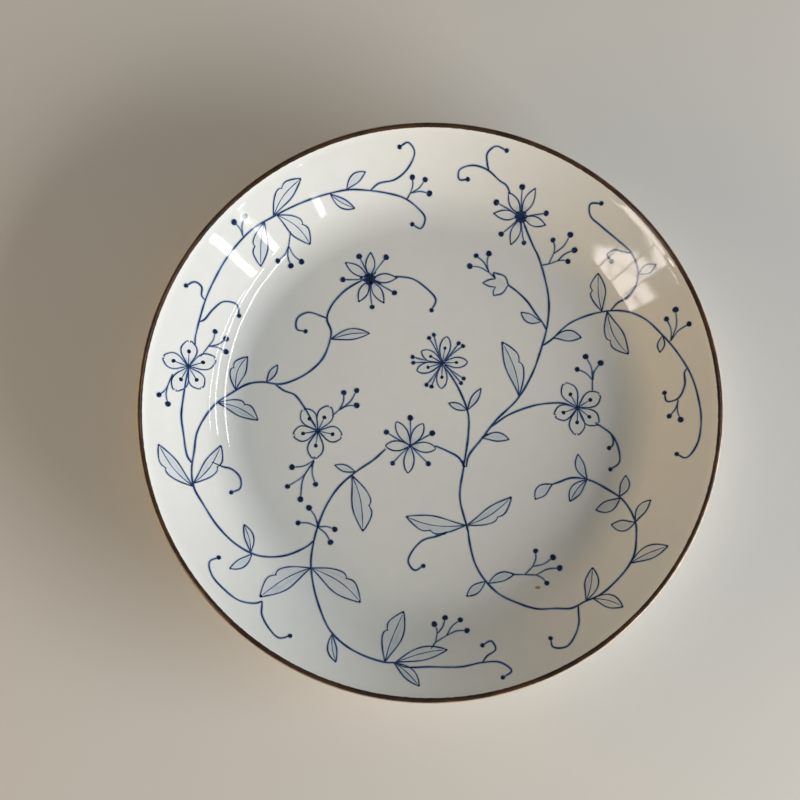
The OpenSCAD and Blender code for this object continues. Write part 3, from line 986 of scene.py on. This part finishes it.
class Tendrils(Line):
    """The curling tendrils, each ending in a dot."""

    dot_d = 2.0
    pen = TENDRIL_PEN
    ROUTES = (
        ((53, 32), (57, 35), (66, 43), (80, 48), (91, 48), (100, 44), (108, 36), (115, 27), (121, 16),
         (124, 5), (125, -5), (123, -16), (118, -22), (114, -20)),
        ((85, 49), (88, 52), (92, 54), (96, 59), (97, 66), (94, 74), (88, 80), (80, 87), (75, 92),
         (75, 97), (80, 97)),
        ((94, 74), (90, 75), (86, 76), (83, 74), (85, 71)),
        ((38, 103), (36, 107), (33, 109), (27, 114), (20, 116), (14, 114), (14, 110), (18, 110)),
        ((28, 114), (27, 117), (27, 121), (31, 124), (36, 122)),
        ((119, 20), (118, 18), (118, 12), (115, 6), (110, 5), (109, 9)),
        ((77, -4), (80, -6), (85, -10), (88, -17), (88, -23), (84, -26)),
        ((84, -9), (85.5, -12), (85, -15), (83.5, -16)),
        ((68, -90), (68, -93), (68, -98), (66, -104), (62, -109), (56, -109), (55, -105)),
        ((8, -55), (4, -57), (-3, -59), (-8, -64), (-10, -69), (-7, -73), (-3, -71)),
        ((-14, -116), (-12, -118), (0, -118), (14, -118), (24, -116), (32, -116), (37, -120), (33, -123)),
        ((24, -116), (26, -113), (30, -110), (28, -106), (24, -108)),
        ((-77, -88), (-80, -89), (-87, -88), (-94, -83), (-100, -76), (-101, -70), (-97, -68)),
        ((-77, -88), (-77, -90), (-77, -94), (-74, -100), (-69, -105), (-64, -104)),
        ((-101, -23), (-96, -25), (-92, -26), (-88, -30), (-88, -35), (-92, -37)),
        ((-48, 45), (-50, 46), (-57, 48), (-62, 45), (-62, 40), (-58, 39)),
        ((-17, 65), (-15, 65), (-8, 64), (-2, 60), (3, 54), (1, 49)),
        ((-107, 42), (-105, 43), (-101, 48), (-96, 52), (-90, 51), (-89, 46)),
        ((-104, 52), (-106, 54), (-106, 58), (-109, 60), (-113, 58)),
        ((-109, 31), (-109, 34), (-107, 43), (-104, 53), (-100, 62), (-95, 71), (-89, 79), (-82, 86),
         (-74, 91), (-65, 96), (-56, 100), (-47, 103), (-38, 105), (-29, 105), (-20, 104), (-12, 102),
         (-6, 98), (-2, 93), (-4, 88), (-8, 90)),
        ((-28, 106), (-24, 108), (-16, 110), (-10, 115), (-7, 122), (-10, 126), (-14, 124)),
    )

    def paint(self) -> None:
        """Paints every tendril and its dot."""
        super().paint()
        for points in self.ROUTES:
            self.dot(points[-1], self.dot_d)


VINE = {points: Route(points) for points in Stems.ROUTES + Tendrils.ROUTES}


class Leaves(Painting):
    """The leaves and the bud."""

    notched_w = 7.0        # leaves this wide have a notch in an edge
    ribbed_l = 13.0        # leaves this long have a midrib
    notch_at = 0.58
    notch_in = 0.30        # how far the notch steps in, as a share of half the width
    pale = 0.045
    shaded = 0.11

    # Foot, tip, width, and how far the middle bows to the left
    LEAVES = (
        ((15, -53), (-11, -48), 8, 2), ((19, -52), (38, -39), 7, -2), ((15, 1), (9, 5), 3, 0),
        ((21, 3), (24, 12), 3, 0), ((27, -13), (37, -12), 4, 1), ((39, 10), (34, 34), 8, -2),
        ((60, 34), (71, 36), 5, 1), ((51, 42), (43, 48), 4, 1), ((80, 52), (79, 66), 7, 1),
        ((83, 46), (93, 28), 8, -2), ((100, 64), (105, 68), 4, 0), ((106, 34), (107, 28), 3, 0),
        ((-36, -25), (-44, -24), 3, 0), ((-34, -31), (-31, -55), 9, 2), ((-57, -72), (-78, -86), 10, -2),
        ((-52, -72), (-32, -88), 10, 2), ((-47, -105), (-43, -116), 4, -1), ((-20, -112), (-12, -92), 9, 1),
        ((-15, -114), (8, -110), 6, 1), ((-17, -119), (-5, -127), 5, 1), ((-82, -63), (-86, -52), 4, -1),
        ((-83, -69), (-92, -73), 4, 1), ((-112, -36), (-125, -16), 7, 2), ((-106, -33), (-97, -15), 7, -2),
        ((-92, 14), (-85, 27), 7, 2), ((-96, 2), (-80, -3), 7, 2), ((-76, 17), (-71, 23), 3, 0),
        ((-43, 34), (-28, 38), 5, 1), ((-74, 94), (-60, 109), 7, 2), ((-76, 88), (-79, 69), 7, -1),
        ((-70, 90), (-56, 80), 8, 2), ((-39, 108), (-30, 113), 4, 1), ((-46, 100), (-35, 97), 4, -1),
        ((23, -80), (17, -85), 4, 0), ((29, -77), (39, -75), 4, 1), ((70, -85), (75, -72), 6, -1),
        ((75, -89), (88, -91), 6, 1), ((95, -72), (109, -63), 6, 1), ((92, -52), (84, -52), 5, 1),
        ((98, -51), (102, -41), 4, 1), ((86, -42), (77, -45), 5, 1), ((90, -37), (91, -29), 4, -1),
        ((74, -28), (69, -19), 4, 1), ((72, -34), (65, -41), 5, -1), ((57, -33), (49, -40), 5, -1),
    )
    # The bud's strokes: a crown of three points that opens away from its stalk
    BUD = (
        ((37, 61), (35.5, 65), (30, 67)), ((30, 67), (30.5, 65.5), (31, 64)), ((31, 64), (28, 63.5), (25, 62)),
        ((25, 62), (28, 60.5), (31, 60)), ((31, 60), (30, 58), (30, 56)), ((30, 56), (34, 57), (37, 61)),
    )

    def lower_lobe(self, blade: Blade, side: Side) -> list[Vector]:
        """Returns the edge up to the notch, turning in at its end."""
        shares = [self.notch_at * k / 9 for k in range(10)]
        return [blade.at(t, side.value * (1 - self.notch_in * max(0.0, t / self.notch_at * 5 - 4) ** 2)) for t in shares]

    def upper_lobe(self, blade: Blade, side: Side) -> list[Vector]:
        """Returns the edge from the notch to the tip, swelling out again at its start."""
        start = self.notch_at - 0.02
        shares = [start + (1 - start) * (k / 8) ** 1.4 for k in range(9)]
        return [blade.at(t, side.value * (1.06 - (self.notch_in + 0.12) * max(0.0, 1 - (t - start) / 0.16) ** 1.5))
                for t in shares]

    def leaf(self, blade: Blade, notched: Side | None, shaded: Side) -> None:
        """Paints one leaf.

        Args:
            blade: its shape.
            notched: the edge that has a notch, if any.
            shaded: the half that has the stronger wash.
        """
        length = (Vector(blade.tip) - Vector(blade.foot)).length
        cells = (max(6, round(length)), 4)
        self.sheet(cells, Layer.WASH, lambda u, v: (blade.at(u, v), self.pale))
        ribbed = length >= self.ribbed_l
        half = 0.5 * shaded.value if ribbed else 0.0
        self.sheet(cells, Layer.WASH, lambda u, v: (
            blade.at(u, half + v * (0.5 if ribbed else 0.9)),
            self.pale + (self.shaded - self.pale) * (1 - abs(v) ** 2) * (1.15 - 0.7 * u)))
        for side in Side:
            if side is notched:
                self.line(self.lower_lobe(blade, side), EDGE_PEN)
                self.line(self.upper_lobe(blade, side), EDGE_PEN)
            else:
                self.line(blade.edge(side), EDGE_PEN)
        if ribbed:
            self.line([blade.at(t, 0.12 * shaded.value * t) for t in (0.0, 0.25, 0.5, 0.75, 0.94)], RIB_PEN)
        self.dot(blade.at(0.97, 0.0), 0.9, 0.95)

    def paint(self) -> None:
        """Paints every leaf, then the bud."""
        for i, (foot, tip, width, bow) in enumerate(self.LEAVES):
            rooted = tuple(Line.nearest(foot, 5.0))
            outer = Side.LEFT if bow > 0 else Side.RIGHT
            inner = Side.RIGHT if bow > 0 else Side.LEFT
            notched = outer if width >= self.notched_w else None
            self.leaf(Blade(rooted, tip, width, bow), notched, inner if i % 3 else outer)
        for stroke in self.BUD:
            self.line(stroke, EDGE_PEN)
        petal = Blade((37, 61), (27, 61.5), 7, 0, belly=1.3)
        self.sheet((8, 4), Layer.WASH, lambda u, v: (petal.at(u, v), self.pale))


class PetalKind(Enum):
    """The vine's kinds of petals."""

    STAR = "long and pointed, round a dark middle"
    LENS = "long and soft at the tip"
    DOUBLE = "long and round, with a stamen inside and pairs of stamens between"
    ROUND = "broad, with a nick in the tip and a stamen inside"


@dataclass(frozen=True)
class Blossom:
    """One blossom: where it is, its kind, and the directions of its petals and of the stamens between them."""

    middle: Point
    kind: PetalKind
    petals: tuple[float, ...]
    stamens: tuple[float, ...] = ()


class Blossoms(Painting):
    """The blossoms: petals, middles and stamens."""

    BLOSSOMS = (
        Blossom((43, 93), PetalKind.STAR, (-20, 62, 118, 172, 250), (5, 88, 150, 220, 277)),
        Blossom((-28, 64), PetalKind.STAR, (2, 88, 146, 245, 300), (-30, 53, 115, 182, 275)),
        Blossom((-9, -15), PetalKind.LENS, (-6, 60, 120, 180, 265), (-45, 30, 90, 150, 225)),
        Blossom((6, 24), PetalKind.DOUBLE, (2, 80, 150, 197, 268), (45, 112, 174, 240, 318)),
        Blossom((-52, -8), PetalKind.ROUND, (-13, 65, 125, 190, 262)),
        Blossom((-112, 21), PetalKind.ROUND, (20, 88, 162, 242, 302)),
        Blossom((69, 3), PetalKind.ROUND, (31, 118, 200, 268, 321)),
    )
    # For each kind: petal width, where the petal is widest, roundness, and the reach of petals and stamens
    SHAPES = {
        PetalKind.STAR: (4.2, 0.95, 0.9, 12.8, 12.6),
        PetalKind.LENS: (4.6, 1.15, 0.72, 12.3, 12.4),
        PetalKind.DOUBLE: (4.8, 1.3, 0.66, 12.0, 13.4),
        PetalKind.ROUND: (7.2, 1.45, 0.70, 12.2, 7.0),
    }
    uneven = 0.07          # how much the petals of one blossom differ in length
    dark_middle_d = 4.6
    small_middle_d = 1.7
    petal_wash = 0.025
    middle_wash = 0.20
    middle_wash_d = 9.0

    def petal(self, blossom: Blossom, degrees: float, reach: float) -> None:
        """Paints one petal, with its nick and its inner stamen if its kind has them."""
        width, belly, fullness, _, inner_reach = self.SHAPES[blossom.kind]
        middle, way = Vector(blossom.middle), towards(degrees)
        foot = 1.6 if blossom.kind is PetalKind.STAR else 0.3
        blade = Blade(tuple(middle + way * foot), tuple(middle + way * reach), width, 0, belly, fullness)
        self.sheet((8, 4), Layer.WASH, lambda u, v: (
            blade.at(u, v), self.petal_wash + self.middle_wash * max(0.0, 1 - 2.6 * u)))
        nicked = blossom.kind is PetalKind.ROUND
        for side in Side:
            edge = blade.edge(side, 0.985 if nicked else 1.0)
            if nicked:
                tip, across = blade.spine(1.0), left_of(way) * side.value
                edge = [*edge[:-1], tip + across * 0.75 - way * 0.05, tip + across * 0.35 - way * 0.75]
            self.line(edge, EDGE_PEN)
        if nicked or blossom.kind is PetalKind.DOUBLE:
            dot_at = middle + way * (inner_reach if nicked else 0.56 * reach)
            self.line([middle + way * 0.8, middle + way * 3.5, dot_at], STALK_PEN)
            self.dot(dot_at, 1.9 if nicked else 1.6)
        elif blossom.kind is PetalKind.STAR:
            self.dot(blade.spine(0.98), 1.0, 0.95)

    def stamen(self, middle: Vector, degrees: float, reach: float, dot_d: float, sway: float) -> None:
        """Paints a stamen that sways a little to one side, with its dot."""
        way = towards(degrees)
        tip = middle + way * reach
        self.line([middle + way * 1.5, middle + way * reach * 0.55 + left_of(way) * sway, tip], STALK_PEN)
        self.dot(tip, dot_d)

    def blossom(self, blossom: Blossom) -> None:
        """Paints one blossom from its petals to its middle."""
        middle = Vector(blossom.middle)
        _, _, _, reach, stamen_reach = self.SHAPES[blossom.kind]
        self.disc(middle, self.middle_wash_d / 2, Layer.BLEED, lambda out: self.middle_wash * (1 - out))
        for i, degrees in enumerate(blossom.petals):
            self.petal(blossom, degrees, reach * (1 + self.uneven * math.sin(2.4 * i + blossom.middle[0])))
        for i, degrees in enumerate(blossom.stamens):
            length = stamen_reach * (1 + self.uneven * math.sin(1.7 * i + blossom.middle[1]))
            if blossom.kind is PetalKind.DOUBLE:
                self.stamen(middle, degrees - 5.5, length, 1.9, 0.3)
                self.stamen(middle, degrees + 5.5, length * 0.96, 1.9, -0.3)
            else:
                self.stamen(middle, degrees, length, 2.4 + 0.3 * math.sin(i), 0.5 * math.sin(3 * i))
        if blossom.kind is PetalKind.STAR:
            self.dot(middle, self.dark_middle_d)
            for k in range(8):
                self.dot(middle + towards(45 * k + blossom.middle[0]) * self.dark_middle_d * 0.5, 1.7, 0.85)
        else:
            self.dot(middle, self.small_middle_d)

    def paint(self) -> None:
        """Paints every blossom."""
        for blossom in self.BLOSSOMS:
            self.blossom(blossom)


class Berries(Painting):
    """The sprigs of berries: stalks that fan out from one foot, each with its dot."""

    berry_d = 2.5
    bow = 0.10            # how far a stalk bows, as a share of its length

    # Where each sprig leaves a leaf or petal (None: the vine), the foot of its stalks, then its berries
    SPRIGS = (
        ((0.5, -109.5), (2.5, -106.5), (2, -98), (7, -95), (14, -96), (17, -101)),
        ((38, -75), (44, -75), (49, -64), (57, -67), (60, -72), (54, -79)),
        (None, (112, 33), (110, 43), (114, 47), (120, 40)),
        (None, (115, 5), (111, -2), (116, -4)),
        (None, (56, 71), (65, 72), (68, 77), (66, 84), (58, 82)),
        (None, (-52, -53), (-56, -44), (-61, -51), (-44, -54), (-46, -60)),
        ((-45.5, -1), (-42, 2), (-40, 10), (-34, 11), (-34, 4)),
        ((-53.5, -20), (-54, -22), (-64, -25), (-66, -34), (-60, -40), (-53, -33)),
        ((-106.5, 26), (-103, 31), (-100, 38), (-95, 35), (-95, 29)),
        ((-119, 17), (-121, 12), (-125, 7), (-121, 3)),
        (None, (-87, 82), (-91, 88), (-86, 91)),
        ((-65, 85.5), (-66, 79), (-71, 72), (-65, 70), (-60, 72)),
        (None, (-9, 104), (-8, 111), (-2, 110), (0, 104)),
        ((76, 11), (76, 16), (73, 27), (69, 21), (80, 24)),
        ((31, 64), (28, 67), (19, 70), (22, 75), (28, 76)),
    )
    forked_after = 3.0     # sprigs whose stalk is this long fork again for each pair of berries

    def stalk(self, root: Vector, berry: Vector, lean: float) -> None:
        """Paints one stalk, bowed away from the sprig's middle by lean, and its berry."""
        reach = berry - root
        self.line([root, root + reach * 0.5 - left_of(reach) * lean * self.bow, berry], STALK_PEN)
        self.dot(berry, self.berry_d * (1 + 0.1 * math.sin(2.2 * self.count)))

    def paint(self) -> None:
        """Paints every sprig, its common stalk first."""
        for start, foot, *tips in self.SPRIGS:
            knot, berries = Vector(foot), [Vector(tip) for tip in tips]
            root = Vector(start) if start else Line.nearest(foot, 5.0)
            if (knot - root).length > 0.3:
                self.line([root, knot], STALK_PEN)
            mean = sum((berry - knot for berry in berries), Vector((0, 0)))
            forked = len(berries) == 4 and (knot - root).length > self.forked_after
            for i in range(0, len(berries), 2 if forked else 1):
                pair = berries[i:i + 2] if forked else berries[i:i + 1]
                fork = knot.lerp(sum(pair, Vector((0, 0))) / len(pair), 0.4) if forked else knot
                if forked:
                    self.line([knot, fork], STALK_PEN)
                for berry in pair:
                    self.stalk(fork, berry, math.copysign(1.0, left_of(mean).dot(berry - knot)))


@dataclass(frozen=True)
class Decoration:
    """The painted vine, in the five pieces that the plate's model has."""

    face: Face

    def build(self, groups: SharedGroups) -> None:
        """Builds, dresses and places the painted pieces."""
        line = Cobalt("brushed_cobalt").material(groups)
        wash = Cobalt("washed_cobalt", load_low=0.80, load_high=1.14, scale=190.0).material(groups)
        pieces = (
            (Stems, "painted_stems", "cobalt_stems", Slot.LINE, line),
            (Tendrils, "painted_tendrils", "cobalt_tendrils", Slot.LINE, line),
            (Leaves, "painted_leaves", "cobalt_leaves", Slot.WASH, wash),
            (Blossoms, "painted_blossoms", "cobalt_blossoms", Slot.WASH, wash),
            (Berries, "painted_berries", "cobalt_berries", Slot.LINE, line),
        )
        for maker, name, node, slot, material in pieces:
            piece = maker(self.face)
            piece.paint()
            piece.finish(name, node, slot, material)


# ---- Studio ----


@dataclass(frozen=True)
class Lamp:
    """A rectangular lamp."""

    name: str
    size: tuple[float, float]     # across and up, seen from the plate
    radiance: float
    colour: Colour = (1.0, 1.0, 1.0)
    distance: float = 1.4
    offset: Point = (0.0, 0.0)    # how far it hangs to the left and up, seen from the plate

    def hang(self, target: Vector, way: Vector, along: Vector = Vector((0.0, 0.0, 0.0))) -> bpy.types.Object:
        """Hangs the lamp.

        Args:
            target: the place it shines on.
            way: the direction it hangs in.
            along: the direction of its length, level where this is nought.

        Returns:
            The lamp.
        """
        data = bpy.data.lights.new(self.name, "AREA")
        data.shape = "RECTANGLE"
        data.size, data.size_y = self.size
        data.energy = self.radiance * math.pi * self.size[0] * self.size[1]
        data.color = self.colour
        lamp = bpy.data.objects.new(self.name, data)
        back = way.normalized()
        up = back.cross(along if along.length else Vector((0.0, 0.0, 1.0)).cross(back)).normalized()
        turn = Matrix((up.cross(back), up, back)).transposed()
        lamp.location = target + back * self.distance + turn @ Vector((*self.offset, 0.0))
        lamp.rotation_euler = turn.to_euler()
        bpy.context.scene.collection.objects.link(lamp)
        return lamp


@dataclass(frozen=True)
class Studio:
    """The floor, the lamps and the camera."""

    face: Face
    elevation: float = 82.0
    distance: float = 1.3
    lens: float = 127.2
    aim: Point = (-13.8, 3.95)     # where the camera looks, from the middle of the plate
    floor_size: float = 8.0
    ambient: Colour = (0.155, 0.181, 0.196)

    # Each lamp that lights the plate, with its direction
    LIGHTS = (
        (Lamp("side_daylight", (1.3, 0.5), 22.5, (1.0, 0.955, 0.895), 1.5), (0.90, -0.37, 0.19)),
        (Lamp("warm_fill", (1.4, 0.5), 7.4, (1.0, 0.66, 0.30), 1.5), (-0.94, -0.15, 0.21)),
    )
    # Each lamp that is only seen mirrored, with the place where it shows on the face
    MIRRORED = (
        (Lamp("bar_one", (0.030, 0.050), 18.0), (-94.1, 75.3)),
        (Lamp("bar_two", (0.026, 0.018), 18.0), (-88.5, 92.3)),
        (Lamp("bar_three", (0.030, 0.026), 18.0), (-76.4, 82.3)),
        (Lamp("bar_four", (0.026, 0.020), 18.0), (-51.1, 96.2)),
        (Lamp("lip_window", (0.24, 0.18), 8.0, (1.0, 0.90, 0.85)), (100.0, 84.5)),
        (Lamp("lip_glint", (0.03, 0.10), 11.0, (1.0, 0.95, 0.90)), (112.3, 67.8)),
    )
    WINDOW_AT: Point = (87.0, 69.5)
    WINDOW_ROWS = ((0.009, (0.16, 0.08, 0.0, -0.08)), (-0.009, (0.08, 0.0, -0.08, -0.16)))
    WINDOW_PANE = (0.072, 0.015)
    # Each arc in which a long window shows: its first heading and radius, its last, and its lamps' height
    ARCS = (
        ((132.0, 100.3), (188.0, 94.3), 0.032),
        ((139.0, 103.2), (186.0, 99.0), 0.028),
        ((146.0, 103.8), (184.0, 102.2), 0.020),
    )
    arc_step: float = 6.0        # heading from one lamp of an arc to the next, in degrees

    def build(self) -> None:
        """Builds the studio round the plate."""
        low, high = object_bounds()
        top = Vector(((low.x + high.x) / 2, (low.y + high.y) / 2, high.z))
        tilt = math.radians(self.elevation)
        view = Vector((0.0, -math.cos(tilt), math.sin(tilt)))
        eye = top + Vector((self.aim[0] * MM, self.aim[1] * MM, 0.0)) + view * self.distance
        self.floor(low.z)
        self.light(top, eye)
        self.camera(eye, view)

    def floor(self, height: float) -> None:
        """Lays the floor just under the plate."""
        bm = bmesh.new()
        bmesh.ops.create_grid(bm, x_segments=1, y_segments=1, size=self.floor_size / 2)
        bmesh.ops.translate(bm, verts=bm.verts, vec=(0, 0, height - 0.00005))
        finish_mesh(bm, "floor", PaleFloor("pale_floor").material())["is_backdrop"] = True

    def window(self) -> list[Lamp]:
        """Returns the panes of the window on the right of the rim."""
        return [
            Lamp(f"pane_{across}_{up}", self.WINDOW_PANE, 9.5, (1.0, 0.93, 0.90), offset=(across, up))
            for up, places in self.WINDOW_ROWS for across in places
        ]

    def hang_arc(self, first: Point, last: Point, height: float, eye: Vector) -> None:
        """Hangs a row of lamps, end to end, that shows as one arc on the face.

        Args:
            first: heading and radius of the arc's one end, in degrees and millimetres.
            last: the same of its other end.
            height: height of the lamps.
            eye: where the camera stands.
        """
        count = round((last[0] - first[0]) / self.arc_step)
        rows = []
        for k in range(count + 1):
            heading, radius = Vector(first).lerp(Vector(last), k / count)
            x, y = radius * math.cos(math.radians(heading)), radius * math.sin(math.radians(heading))
            rows.append((self.face.spot(x, y), self.face.mirror(x, y, eye)))
        for (spot_a, way_a), (spot_b, way_b) in zip(rows, rows[1:]):
            along = spot_b - spot_a + (way_b - way_a) * Lamp.distance
            lamp = Lamp("arc", (along.length, height), 13.0)
            lamp.hang((spot_a + spot_b) / 2, way_a + way_b, along).visible_diffuse = False

    def light(self, top: Vector, eye: Vector) -> None:
        """Hangs the lamps and sets the sky.

        Args:
            top: the middle of the plate's top.
            eye: where the camera stands.
        """
        for lamp, way in self.LIGHTS:
            lamp.hang(top, Vector(way))
        for lamp, (x, y) in (*self.MIRRORED, *((pane, self.WINDOW_AT) for pane in self.window())):
            lamp.hang(self.face.spot(x, y), self.face.mirror(x, y, eye)).visible_diffuse = False
        for arc in self.ARCS:
            self.hang_arc(*arc, eye)
        world = bpy.data.worlds.new("studio")
        world.use_nodes = True
        world.node_tree.nodes["Background"].inputs[0].default_value = (*self.ambient, 1.0)
        bpy.context.scene.world = world
        bpy.context.scene.view_settings.view_transform = "Standard"

    def camera(self, eye: Vector, view: Vector) -> None:
        """Sets the camera at eye, with view pointing back at it from the plate."""
        data = bpy.data.cameras.new("camera")
        data.lens = self.lens
        camera = bpy.data.objects.new("camera", data)
        camera.location = eye
        camera.rotation_euler = view.to_track_quat("Z", "Y").to_euler()
        bpy.context.scene.collection.objects.link(camera)
        bpy.context.scene.camera = camera


def main() -> None:
    """Builds the plate, its painting and the studio, in that order."""
    logging.basicConfig(level=logging.INFO, format="%(name)s: %(message)s")
    section = Section.from_frame()
    groups = SharedGroups()
    China(section).build(groups)
    face = Face(section.walks()["face"])
    Decoration(face).build(groups)
    Studio(face).build()


if __name__ == "__main__":
    main()
